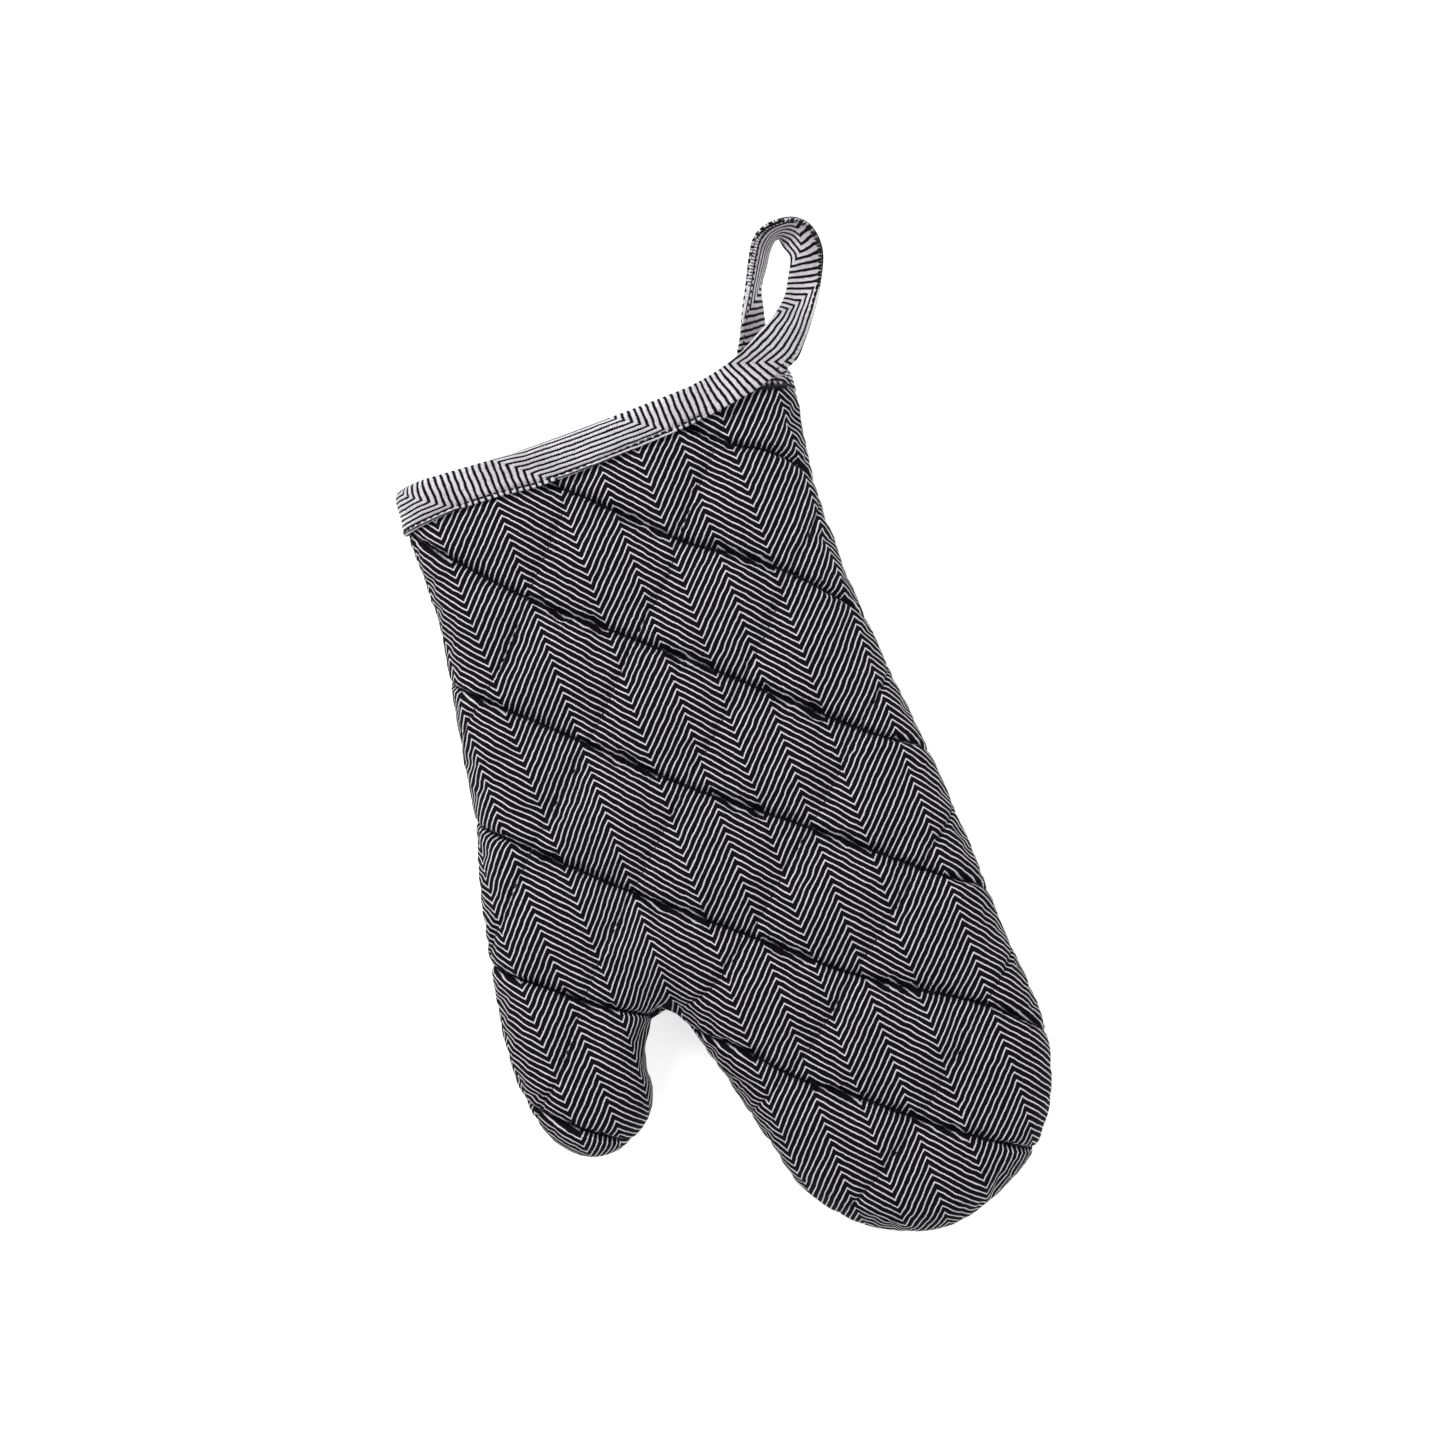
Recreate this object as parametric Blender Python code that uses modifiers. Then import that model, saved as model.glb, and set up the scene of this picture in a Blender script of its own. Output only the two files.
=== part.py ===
"""Oven mitt: a quilted glove for one hand, with a bound cuff and a hanging loop.

Metres, +Z up. The mitt lies flat with its palm side up. X runs across the hand, Y runs
along it with the cuff at +Y, and the origin is under the middle of the whole part.
Each wall is outer fabric, wadding and lining. A wall is one shell that runs round both
faces of the mitt. Six prisms cut it into front and back, and into palm, fingers and
thumb, so that the fingers and the thumb can fold over the palm.
"""
import math

import bmesh
import bpy
from mathutils import Vector

MM = 0.001

# Driving dimensions, millimetres and degrees
HALF_THICKNESS = 15.0        # also the radius of the rounded rim
MIDDLE = HALF_THICKNESS      # height of the seam between front and back
CUFF_END = 126.0             # top edge of the binding
GAP = 0.3                    # clearance between touching pieces
OUTER = 0.9                  # thickness of the outer fabric
WADDING = 4.5                # thickness of the wadding
LINING = 0.6                 # thickness of the lining
WADDING_BACK_GAP = 0.5       # clearance from wadding to lining
TAPE = 0.8                   # thickness of the cuff binding
TAPE_DEPTH = 13.0            # how far the binding reaches down each face
SLOPE_START = 104.0          # where the wall starts to thin towards the binding
RIM_STEPS = 6                # facets round the rim, from bottom to top
CURVE_STEPS = 2              # points on the outline for each stretch of the spline

FINGER_FOLD_Y = -84.0
FINGER_FOLD_LIMIT = 60.0
THUMB_FOLD_POINT = (-47.0, -76.0)
THUMB_FOLD_HEADING = 138.7   # direction of the thumb's fold line, from +X
THUMB_FOLD_LIMIT = 60.0
CROTCH_X = -42.0             # between the thumb and the fingers
REACH = 200.0                # how far the cutting prisms reach

LOOP_WIDTH = 12.0
LOOP_THICKNESS = 2.4
LOOP_SWING_Y = 130.0
# Route of the hanging loop: x, y, z and the tape's twist in degrees (0 lies flat).
# Its first end passes under its last end, and both stand just clear of the binding.
LOOP_ROUTE = [
    (60.5, 129.5, 13.2, 0.0), (63.0, 138.0, 13.2, 15.0), (66.8, 148.0, 13.6, 50.0),
    (72.0, 158.5, 14.4, 62.0), (78.5, 166.5, 15.0, 55.0), (86.3, 166.3, 15.3, 38.0),
    (89.0, 158.0, 15.6, 18.0), (86.6, 149.5, 16.2, 5.0), (80.2, 140.5, 16.6, 0.0),
    (75.5, 134.5, 16.8, 0.0), (71.5, 129.5, 16.8, 0.0),
]

THREAD = 0.5                 # diameter of the sewing thread
BARTACK = (6.8, 1.7, 0.6)    # size of the block of stitches under the loop

# Outline of the mitt from the cuff's left corner round to its right corner.
# The first three and the last three points stand straight above each other.
LEFT_X = -70.0
RIGHT_X = 71.2
OUTLINE = [
    (-70.5, 85.0), (-73.0, 52.0), (-79.5, 12.0), (-87.5, -24.0), (-94.4, -60.0),
    (-94.4, -80.0), (-90.8, -96.5), (-83.0, -107.0), (-72.5, -111.0), (-61.8, -107.6),
    (-54.2, -98.5), (-51.2, -86.5), (-46.8, -75.5), (-40.8, -71.0), (-35.6, -74.5),
    (-32.3, -82.0), (-27.8, -96.0), (-21.8, -115.0), (-14.5, -141.0), (2.0, -161.5),
    (27.5, -172.0), (53.0, -164.0), (73.0, -146.0), (81.6, -119.0), (79.0, -88.0),
    (76.6, -42.0), (70.5, 12.0), (67.3, 52.0), (68.5, 85.0),
]

LAYERS = [
    ("outer", 0.0, OUTER, "outer_fabric"),
    ("wadding", OUTER + GAP, WADDING, "wadding_fill"),
    ("lining", OUTER + GAP + WADDING + WADDING_BACK_GAP, LINING, "lining_fabric"),
]
WALL = LAYERS[-1][1] + LINING

FINISHES = {
    "outer_fabric": ((0.055, 0.050, 0.070), 0.88),
    "tape_fabric": ((0.62, 0.60, 0.66), 0.86),
    "wadding_fill": ((0.80, 0.78, 0.72), 0.95),
    "lining_fabric": ((0.030, 0.029, 0.034), 0.90),
    "sewing_thread": ((0.012, 0.012, 0.016), 0.70),
}


def clear_scene():
    for old in list(bpy.data.objects):
        bpy.data.objects.remove(old, do_unlink=True)


def new_collection(name):
    collection = bpy.data.collections.new(name)
    bpy.context.scene.collection.children.link(collection)
    return collection


def make_material(name, color, roughness):
    material = bpy.data.materials.new(name)
    material.use_nodes = True
    shader = material.node_tree.nodes["Principled BSDF"]
    shader.inputs["Base Color"].default_value = (*color, 1.0)
    shader.inputs["Roughness"].default_value = roughness
    shader.inputs["Metallic"].default_value = 0.0
    return material


def add_object(name, data, collection, material=None, parent=None):
    obj = bpy.data.objects.new(name, data)
    collection.objects.link(obj)
    if material:
        obj.data.materials.clear()
        obj.data.materials.append(material)
    if parent:
        obj.parent = parent
        obj.matrix_parent_inverse = parent.matrix_world.inverted()
    return obj


def add_axis(name, location, collection):
    """An empty on a joint's axis, which carries the pieces that move."""
    axis = bpy.data.objects.new(name, None)
    axis.empty_display_size = 20 * MM
    axis.location = [value * MM for value in location]
    collection.objects.link(axis)
    bpy.context.view_layer.update()
    return axis


def spline_point(p0, p1, p2, p3, t):
    """Catmull-Rom point between p1 and p2."""
    return 0.5 * (2 * p1 + (p2 - p0) * t + (2 * p0 - 5 * p1 + 4 * p2 - p3) * t * t
                  + (3 * p1 - p0 - 3 * p2 + p3) * t * t * t)


def outline_points():
    """The outline's stations: points, outward directions and rim radii."""
    cuff_ys = (CUFF_END - TAPE - GAP, CUFF_END - TAPE_DEPTH - 0.7, SLOPE_START)
    left = [Vector((LEFT_X, y)) for y in cuff_ys]
    right = [Vector((RIGHT_X, y)) for y in reversed(cuff_ys)]
    knots = [left[-1]] + [Vector(point) for point in OUTLINE] + [right[0]]
    padded = [2 * knots[0] - knots[1]] + knots + [2 * knots[-1] - knots[-2]]
    curve = []
    for index in range(1, len(padded) - 2):
        for step in range(CURVE_STEPS):
            curve.append(spline_point(*padded[index - 1:index + 3], step / CURVE_STEPS))
    points = left[:-1] + curve + right
    outward = []
    for index, point in enumerate(points):
        before, after = points[max(index - 1, 0)], points[min(index + 1, len(points) - 1)]
        along = (after - before).normalized()
        outward.append(Vector((along.y, -along.x)))
    for index in range(3):
        outward[index] = Vector((-1.0, 0.0))
        outward[-1 - index] = Vector((1.0, 0.0))
    thin = HALF_THICKNESS - TAPE - GAP
    radii = [HALF_THICKNESS] * len(points)
    for index in (0, 1, -1, -2):
        radii[index] = thin
    return points, outward, radii


def rim_angles():
    return [math.radians(-90 + 180 * step / RIM_STEPS) for step in range(RIM_STEPS + 1)]


def shell_mesh(name, depth):
    """An open sack whose surface lies the given depth inside the mitt's own surface."""
    points, outward, radii = outline_points()
    angles = rim_angles()
    mesh = bpy.data.meshes.new(name)
    shape = bmesh.new()
    rows = []
    for point, normal, radius in zip(points, outward, radii):
        core = point - normal * HALF_THICKNESS
        reach = radius - depth
        row = []
        for angle in angles:
            flat = core + normal * reach * math.cos(angle)
            row.append(shape.verts.new(
                (flat.x * MM, flat.y * MM, (MIDDLE + reach * math.sin(angle)) * MM)))
        rows.append(row)
    for row, following in zip(rows, rows[1:]):
        for k in range(RIM_STEPS):
            shape.faces.new((row[k], following[k], following[k + 1], row[k + 1]))
    last = len(rows) - 1
    for k in (0, RIM_STEPS):
        for i in (0, 1):
            shape.faces.new((rows[i][k], rows[i + 1][k], rows[last - i - 1][k], rows[last - i][k]))
        shape.faces.new([row[k] for row in rows[2:-2]])
    bmesh.ops.recalc_face_normals(shape, faces=shape.faces)
    shape.to_mesh(mesh)
    shape.free()
    return mesh


def line_y(x, offset):
    """Height of the thumb's fold line at x, moved by offset towards the palm."""
    normal = thumb_normal()
    along_x = normal.x * (x - THUMB_FOLD_POINT[0])
    return THUMB_FOLD_POINT[1] + (offset - along_x) / normal.y


def line_x(y, offset):
    normal = thumb_normal()
    along_y = normal.y * (y - THUMB_FOLD_POINT[1])
    return THUMB_FOLD_POINT[0] + (offset - along_y) / normal.x


def thumb_normal():
    """Across the thumb's fold line, pointing to the palm."""
    heading = math.radians(THUMB_FOLD_HEADING)
    return Vector((math.sin(heading), -math.cos(heading)))


def region_corners(region, finger_room, thumb_room):
    finger_y = FINGER_FOLD_Y + (finger_room if region == "palm" else -finger_room)
    if region == "palm":
        return [(line_x(finger_y, thumb_room), finger_y), (REACH, finger_y), (REACH, REACH),
                (-REACH, REACH), (-REACH, line_y(-REACH, thumb_room))]
    if region == "fingers":
        return [(CROTCH_X, finger_y), (REACH, finger_y), (REACH, -REACH), (CROTCH_X, -REACH)]
    return [(CROTCH_X, line_y(CROTCH_X, -thumb_room)), (CROTCH_X, -REACH), (-REACH, -REACH),
            (-REACH, line_y(-REACH, -thumb_room))]


def add_cutter(side, region, collection):
    """A prism that keeps one region of one face. On the front the folds open as wedges."""
    room = GAP / 2
    near, far = MIDDLE + room, MIDDLE + HALF_THICKNESS + 5
    rooms = [(room, room)]
    if side == "front":
        rise = far - MIDDLE
        rooms.append((room + rise * math.tan(math.radians(FINGER_FOLD_LIMIT / 2)),
                      room + rise * math.tan(math.radians(THUMB_FOLD_LIMIT / 2))))
    else:
        near, far = MIDDLE - room, MIDDLE - HALF_THICKNESS - 5
        rooms.append((room, room))
    name = f"cutter_{side}_{region}"
    mesh = bpy.data.meshes.new(name)
    shape = bmesh.new()
    rings = []
    for height, (finger_room, thumb_room) in zip((near, far), rooms):
        corners = region_corners(region, finger_room, thumb_room)
        rings.append([shape.verts.new((x * MM, y * MM, height * MM)) for x, y in corners])
    count = len(rings[0])
    for index in range(count):
        following = (index + 1) % count
        shape.faces.new((rings[0][index], rings[0][following],
                         rings[1][following], rings[1][index]))
    shape.faces.new(rings[0])
    shape.faces.new(rings[1])
    bmesh.ops.recalc_face_normals(shape, faces=shape.faces)
    shape.to_mesh(mesh)
    shape.free()
    cutter = add_object(name, mesh, collection)
    cutter.display_type = "WIRE"
    cutter.hide_render = True
    return cutter


def add_solidify(obj, thickness):
    solidify = obj.modifiers.new("thickness", "SOLIDIFY")
    solidify.thickness = thickness * MM
    solidify.offset = -1.0
    solidify.use_even_offset = True


def add_walls(collection, cutters, materials, axes):
    """Front and back of each layer, split into palm, fingers and thumb."""
    for layer, depth, thickness, finish in LAYERS:
        mesh = shell_mesh(f"{layer}_shell", depth)
        for (side, region), cutter in cutters.items():
            piece = add_object(f"{layer}_{side}_{region}", mesh, collection,
                               materials[finish], axes.get(region))
            add_solidify(piece, thickness)
            cut = piece.modifiers.new("region", "BOOLEAN")
            cut.operation = "INTERSECT"
            cut.object = cutter


def stadium(radius, y):
    """Closed loop round the cuff at one height: two half circles joined by straight runs."""
    loop = []
    for angle in rim_angles():
        loop.append((RIGHT_X - HALF_THICKNESS + radius * math.cos(angle), y,
                     MIDDLE + radius * math.sin(angle)))
    for angle in reversed(rim_angles()):
        loop.append((LEFT_X + HALF_THICKNESS - radius * math.cos(angle), y,
                     MIDDLE + radius * math.sin(angle)))
    return [Vector(point) * MM for point in loop]


def add_binding(collection, material):
    """A folded tape that wraps the cuff's edge: outer leg, top and inner leg."""
    inner = HALF_THICKNESS - 2 * (TAPE + GAP) - WALL
    bottom = CUFF_END - TAPE_DEPTH
    shape = bmesh.new()
    loops = []
    for radius, y in ((HALF_THICKNESS, bottom), (HALF_THICKNESS, CUFF_END),
                      (inner, CUFF_END), (inner, bottom)):
        loops.append([shape.verts.new(point) for point in stadium(radius, y)])
    for loop, following in zip(loops, loops[1:]):
        for index in range(len(loop)):
            after = (index + 1) % len(loop)
            shape.faces.new((loop[index], following[index], following[after], loop[after]))
    bmesh.ops.recalc_face_normals(shape, faces=shape.faces)
    mesh = bpy.data.meshes.new("cuff_binding")
    shape.to_mesh(mesh)
    shape.free()
    binding = add_object("cuff_binding", mesh, collection, material)
    add_solidify(binding, TAPE)


def poly_curve(name, points, cyclic):
    curve = bpy.data.curves.new(name, "CURVE")
    curve.dimensions = "3D"
    curve.use_fill_caps = True
    spline = curve.splines.new("POLY")
    spline.points.add(len(points) - 1)
    for target, point in zip(spline.points, points):
        target.co = (*point, 1.0)
    spline.use_cyclic_u = cyclic
    return curve


def add_topstitch(collection, material):
    """The line of thread that holds the binding, lying against its lower edge."""
    radius = HALF_THICKNESS - TAPE + THREAD / 2
    y = CUFF_END - TAPE_DEPTH - GAP - THREAD / 2
    curve = poly_curve("binding_topstitch", stadium(radius, y), True)
    curve.bevel_depth = THREAD / 2 * MM
    curve.bevel_resolution = 2
    add_object("binding_topstitch", curve, collection, material)


def add_loop(collection, guides, material, axis):
    """The hanging loop: a folded tape that starts and ends flat and stands on edge on top."""
    half_width, half_thickness = LOOP_WIDTH / 2, LOOP_THICKNESS / 2
    corners = [(half_width, half_thickness, 0), (half_width, -half_thickness, 0),
               (-half_width, -half_thickness, 0), (-half_width, half_thickness, 0)]
    section = poly_curve("loop_section", [Vector(corner) * MM for corner in corners], True)
    guide = add_object("loop_section", section, guides)
    guide.display_type = "WIRE"
    guide.hide_render = True
    knots = [Vector(knot) for knot in LOOP_ROUTE]
    padded = [2 * knots[0] - knots[1]] + knots + [2 * knots[-1] - knots[-2]]
    route = []
    for index in range(1, len(padded) - 2):
        for step in range(2):
            route.append(spline_point(*padded[index - 1:index + 3], step / 2))
    route.append(knots[-1])
    curve = poly_curve("hanging_loop", [knot.xyz * MM for knot in route], False)
    curve.twist_mode = "Z_UP"
    curve.bevel_mode = "OBJECT"
    curve.bevel_object = guide
    for target, knot in zip(curve.splines[0].points, route):
        target.tilt = math.radians(knot.w)
    add_object("hanging_loop", curve, collection, material, axis)


def add_bartack(collection, material):
    """The block of stitches that anchors the loop, on the facet beside the flat face."""
    facet = math.radians(90 - 90 / RIM_STEPS)
    lean = math.radians(90 / RIM_STEPS)
    length, width, height = BARTACK
    y = CUFF_END - TAPE_DEPTH - 2 * GAP - THREAD - width / 2
    surface = (HALF_THICKNESS - TAPE) * math.cos(lean)
    reach = surface + GAP + height / 2
    shape = bmesh.new()
    bmesh.ops.create_cube(shape, size=1.0)
    bmesh.ops.scale(shape, vec=[value * MM for value in BARTACK], verts=shape.verts)
    mesh = bpy.data.meshes.new("loop_bartack")
    shape.to_mesh(mesh)
    shape.free()
    bartack = add_object("loop_bartack", mesh, collection, material)
    bartack.location = [value * MM for value in (
        RIGHT_X - HALF_THICKNESS + reach * math.cos(facet), y, MIDDLE + reach * math.sin(facet))]
    bartack.rotation_euler = (0, lean, 0)


def main():
    clear_scene()
    parts = new_collection("oven_mitt")
    guides = new_collection("cutters")
    materials = {name: make_material(name, *look) for name, look in FINISHES.items()}
    axes = {
        "fingers": add_axis("finger_fold_axis", (0, FINGER_FOLD_Y, MIDDLE), parts),
        "thumb": add_axis("thumb_fold_axis", (*THUMB_FOLD_POINT, MIDDLE), parts),
        "loop": add_axis("loop_swing_axis", (LOOP_ROUTE[0][0], LOOP_SWING_Y, MIDDLE), parts),
    }
    cutters = {}
    for side in ("front", "back"):
        for region in ("palm", "fingers", "thumb"):
            cutters[side, region] = add_cutter(side, region, guides)
    add_walls(parts, cutters, materials, axes)
    add_binding(parts, materials["tape_fabric"])
    add_topstitch(parts, materials["sewing_thread"])
    add_loop(parts, guides, materials["tape_fabric"], axes["loop"])
    add_bartack(parts, materials["sewing_thread"])


main()
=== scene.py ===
"""Oven mitt: the fabric, wadding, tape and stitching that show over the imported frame.

Lengths are millimetres in the frame's own axes, and MM turns them into metres. Each
face of the mitt starts as a flat pattern. The pattern is a fine triangle net with extra
rows along its quilting lines; it is wrapped round the rim, held along its seams and
settled with a cloth simulation. The wadding and the lining follow the settled fabric.
"""
import math

import bpy
import numpy as np
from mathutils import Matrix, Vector, geometry, kdtree
from mathutils.bvhtree import BVHTree


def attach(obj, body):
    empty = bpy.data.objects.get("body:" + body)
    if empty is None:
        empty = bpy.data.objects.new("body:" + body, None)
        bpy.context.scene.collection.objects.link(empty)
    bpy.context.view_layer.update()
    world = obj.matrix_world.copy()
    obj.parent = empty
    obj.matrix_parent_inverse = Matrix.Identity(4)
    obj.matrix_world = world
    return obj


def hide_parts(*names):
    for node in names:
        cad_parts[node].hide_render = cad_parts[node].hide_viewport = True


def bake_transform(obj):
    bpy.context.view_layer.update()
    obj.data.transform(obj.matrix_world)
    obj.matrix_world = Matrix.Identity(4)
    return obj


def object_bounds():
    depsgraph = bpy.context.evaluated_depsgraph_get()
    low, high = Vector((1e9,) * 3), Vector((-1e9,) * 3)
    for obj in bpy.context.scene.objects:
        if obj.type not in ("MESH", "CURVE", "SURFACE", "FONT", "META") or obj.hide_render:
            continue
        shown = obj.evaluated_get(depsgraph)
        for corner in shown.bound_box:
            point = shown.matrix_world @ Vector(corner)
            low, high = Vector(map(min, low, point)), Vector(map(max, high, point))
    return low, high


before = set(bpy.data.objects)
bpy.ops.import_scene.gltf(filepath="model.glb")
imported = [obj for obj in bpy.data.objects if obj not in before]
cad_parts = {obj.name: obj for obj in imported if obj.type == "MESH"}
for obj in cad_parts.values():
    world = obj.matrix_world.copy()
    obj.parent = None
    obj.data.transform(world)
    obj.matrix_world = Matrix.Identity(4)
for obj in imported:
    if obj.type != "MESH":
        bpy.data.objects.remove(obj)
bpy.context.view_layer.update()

MM = 0.001

# The mitt's section: a flat wall that rolls round the rim to the seam at mid-height
MIDDLE = 15.0                # height of the side seam
RIM_WIDTH = 14.0             # how far the rim's roll reaches in from the outline
HALF_HEIGHT = 14.1           # from the seam to the wall, before it is quilted
RIM_ARC = 22.1               # length of cloth in the roll
PATTERN_EDGE = 3.5           # pattern width kept outside the outline for the roll
SEAM_NIP = 0.9               # how deep the side seam sits
CUFF_Y = 122.6               # where the fabric ends inside the binding
CUFF_NIP = 1.0               # how far the binding squeezes the wall
CLOTH = 0.7                  # thickness of the outer fabric
WADDING_TOP = 0.3            # clearance under the fabric
LINING_DEPTH = 6.1           # from the wall's face to the lining
LINING = 0.6
LINING_SHORT = 1.8           # how much lower the lining ends than the outer fabric

# Outline from the cuff's left corner down round the thumb and the fingers
OUTLINE = [
    (-70.2, 126), (-70.3, 112), (-70, 94), (-70.8, 70), (-75.2, 42),
    (-79.4, 12), (-84.9, -8), (-89, -27), (-92.5, -49), (-94.9, -66),
    (-94.7, -81), (-92.1, -94.8), (-86.5, -104.9), (-78.8, -110.5), (-70, -111.1),
    (-61.6, -108), (-54.5, -101.8), (-51.4, -94.1), (-50.3, -85.6), (-46.6, -76.5),
    (-41, -70.4), (-35.8, -75), (-32, -83.5), (-28.8, -95.6), (-24.5, -110.2),
    (-20.4, -125.6), (-16.1, -140.9), (-5.7, -155.9), (8, -166.2), (27, -171.6),
    (45, -167.6), (62.7, -157.9), (74, -144.2), (79.2, -130.9), (81.5, -116.4),
    (80.9, -100), (78.4, -80), (77.9, -58), (75.7, -32), (73, -2),
    (69.6, 22), (67.8, 48), (67, 78), (68.9, 98), (71.1, 112), (71.2, 126),
]

# Quilting lines. One family is sewn tight and shows as grooves, the other is shallow.
LONG_LINES = [
    [(31, 114), (44, 103), (56, 96), (67, 84)],
    [(-19, 110), (-10, 103), (17, 78), (35, 66), (50, 54), (66, 37)],
    [(-68, 108), (-38, 76), (-8, 51), (10, 36), (54, -2), (69, -12)],
    [(-67, 52), (-37, 25), (-7, -2), (27, -28), (58, -53), (71, -62)],
    [(-77, 7), (-64, -5), (-37, -29), (-4, -56), (27, -81), (63, -103), (78, -116)],
    [(-88, -40), (-75, -50), (-61, -61), (-46, -70), (-43, -72.4)],
    [(-32, -81), (-19, -91), (-5, -106), (14, -120), (38, -139), (64, -156)],
    [(-89, -90), (-79, -99), (-68, -107)],
]
CROSS_LINES = [
    [(-8, 110), (-28, 87), (-38, 76), (-52, 59), (-71, 42)],
    [(39, 104), (18, 80), (9, 67), (-8, 51), (-32, 25), (-64, -5), (-85, -29)],
    [(64, 72), (49, 55), (25, 29), (-7, -1), (-36, -29), (-60, -54), (-80, -80), (-91, -90)],
    [(67, 11), (55, -1), (35, -21), (27, -28), (17, -37), (-4, -56), (-21, -68), (-33, -71)],
    [(76, -37), (57, -54), (26, -79), (1, -100), (-19, -111)],
    [(75, -93), (57, -110), (36, -128), (15, -144), (-3, -154)],
]
TIGHT, SHALLOW = 3.9, 1.2    # depth of the two kinds of line
# Soft creases in the front: points and depth
CREASES = [
    ([(-15, 73), (-4, 74), (7, 71)], 0.7), ([(31, 77), (43, 75)], 0.7),
    ([(-19, 19), (-4, 17), (11, 18)], 0.8), ([(-45, 45), (-37, 47)], 0.8),
    ([(45, 24), (59, 21)], 0.6), ([(19, 51), (23, 44)], 0.7), ([(18, -14), (28, -15)], 0.6),
    ([(-40, -70), (-26, -70), (-16, -65)], 1.5), ([(-27, -99), (-17, -104), (-7, -107)], 1.1),
    ([(-9, -6), (-5, -18)], 0.8),
]
# The cut between the hand's piece and the thumb's, along a quilting line
THUMB_CUT = [(-110, -23), (-88, -40), (-75, -50), (-61, -61), (-46, -70), (-42.8, -72.8),
             (-41.0, -80)]
CROTCH_X = -41.0

# Weave. The main cloth is dark with light stripes, and its columns run along Y.
STRIPE_STEP = 2.855          # repeat along the column
STRIPE_SLOPE = 1.08
THUMB_DRIFT = 6.6            # how far the columns lean towards the hand at the thumb's tip
MAIN_COLUMNS = [-116.5, -101.8, -86.9, -73.3, -58.7, -36.9, -15.9, -0.2, 13.7, 28.3, 44.0,
                65.4, 86.9]
# Where the tape's columns cross the middle of the tape, along its length
TAPE_COLUMNS = [-255, -215, -180, -140, -100, -55.8, -21.7, 21, 62.8, 92, 113, 147, 190]
TAPE_STRETCH = (0.87, 1.22)  # bias tape stretches along and narrows across
TAPE_WIDTH = 12.2

# Binding: heights of its lower and upper edges along the front and the back
CORE_LEFT, CORE_RIGHT = -55.0, 56.2            # centres of the cuff's rounded ends
TAPE_RADIUS = 14.8
FRONT_LOW = [(-70, 109.4), (-62, 110.5), (-51, 111.5), (-36, 111.2), (-23, 110.0),
             (-9, 110.2), (15, 111.6), (32, 112.9), (46, 115.0), (55, 116.7), (63, 118.0),
             (67.5, 116.2), (69.5, 114.2), (71.4, 113.4)]
FRONT_TOP = [(-70, 125.2), (-60, 125.3), (-45, 124.7), (-28, 123.8), (-8, 124.2),
             (9, 124.7), (24, 125.2), (36, 125.8), (47, 126.5), (56, 126.4), (66, 124.3),
             (71.4, 123.6)]
BACK_LOW = [(-70, 109.6), (-40, 111.6), (0, 111.0), (35, 112.8), (71.4, 113.2)]
BACK_TOP = [(-70, 125.2), (-35, 124.8), (5, 125.9), (40, 124.8), (71.4, 123.6)]
# The tape's section: how far in it lies from the outside, and its height from the
# lower edge (first part) or the upper edge (second part)
LEG_OUT = [(1.0, 0.5), (0.35, 0.0), (-0.35, 0.5), (0.55, 1.5), (-0.2, 2.5), (-0.45, 4.5)]
FLARE = 1.2                  # how far the lower lip stands out at the left corner
ROLL = [(-0.45, -5.0), (-0.1, -2.6), (0.8, -1.0), (2.4, -0.1), (4.6, 0.0), (6.8, -0.5),
        (8.4, -1.6), (9.1, -3.2), (9.2, -5.4)]
LEG_IN = [(9.2, 5.0), (9.1, 2.0), (8.9, 0.6)]
TAPE = 0.6

# Hanging loop: outer rail x, y, z, inner rail x, y, z, thickness. It starts on the front
# of the binding, sweeps up, turns on edge over the top and returns behind itself.
LOOP_ROUTE = [
    (38, 113.7, 29.8, 38, 125.8, 29.9, 0.4),
    (46.5, 115.1, 30.6, 44, 126.8, 30.5, 0.7),
    (55.2, 116.7, 30.7, 50.6, 128.5, 30.6, 0.9),
    (64.6, 119.3, 28.9, 57.5, 131, 31.2, 1.1),
    (73.8, 122.6, 22.8, 63, 134.2, 29.6, 1.4),
    (78.8, 127.8, 19.2, 68.8, 137.8, 25.4, 1.6),
    (83, 133.2, 17.8, 73.4, 141, 21.6, 1.9),
    (88.2, 140.8, 17.4, 77.6, 145.2, 18.4, 2.1),
    (92.3, 148.8, 18.2, 80.8, 150.8, 15.6, 2.3),
    (94.6, 157, 19.4, 83.8, 157, 13.4, 2.5),
    (93.6, 164.4, 20.2, 83, 161, 11.4, 2.8),
    (89.5, 168.6, 20.8, 82.8, 163.4, 9.4, 3),
    (84, 169.6, 20.9, 82.4, 165.4, 8.2, 3.5),
    (78.7, 169, 20.6, 80.4, 165.2, 8, 4),
    (74.6, 166.6, 20.4, 77.4, 162.2, 8.2, 4.4),
    (71.1, 161.2, 20.3, 74.6, 157.6, 8.6, 4.4),
    (67.2, 153.2, 19.8, 70.7, 151.2, 8.9, 3.7),
    (63, 145.6, 18.3, 69.6, 145, 8.5, 3),
    (58.8, 137, 16, 68.2, 137, 7.9, 2.2),
    (55, 130.4, 14.2, 66, 129.4, 8.6, 1.9),
    (52.6, 125.4, 12, 63.2, 124.8, 11.4, 1.6),
    (51, 119.5, 10.6, 61.2, 119, 12.8, 1.4),
    (50.6, 114, 10.2, 60.8, 113.4, 13, 1.3),
]
LOOP_CUP = (4.4, 103.0, 12.0)  # how far the tape cups under its top: depth, place, spread
LOOP_START = 38.0            # distance along the tape where the loop's route begins
STITCH_LINE = 0.13           # share of the loop's width from its outer edge

THREAD = 0.24                # radius of the sewing thread
QUILT_STITCH, QUILT_GAP = 2.3, 0.8

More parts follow.
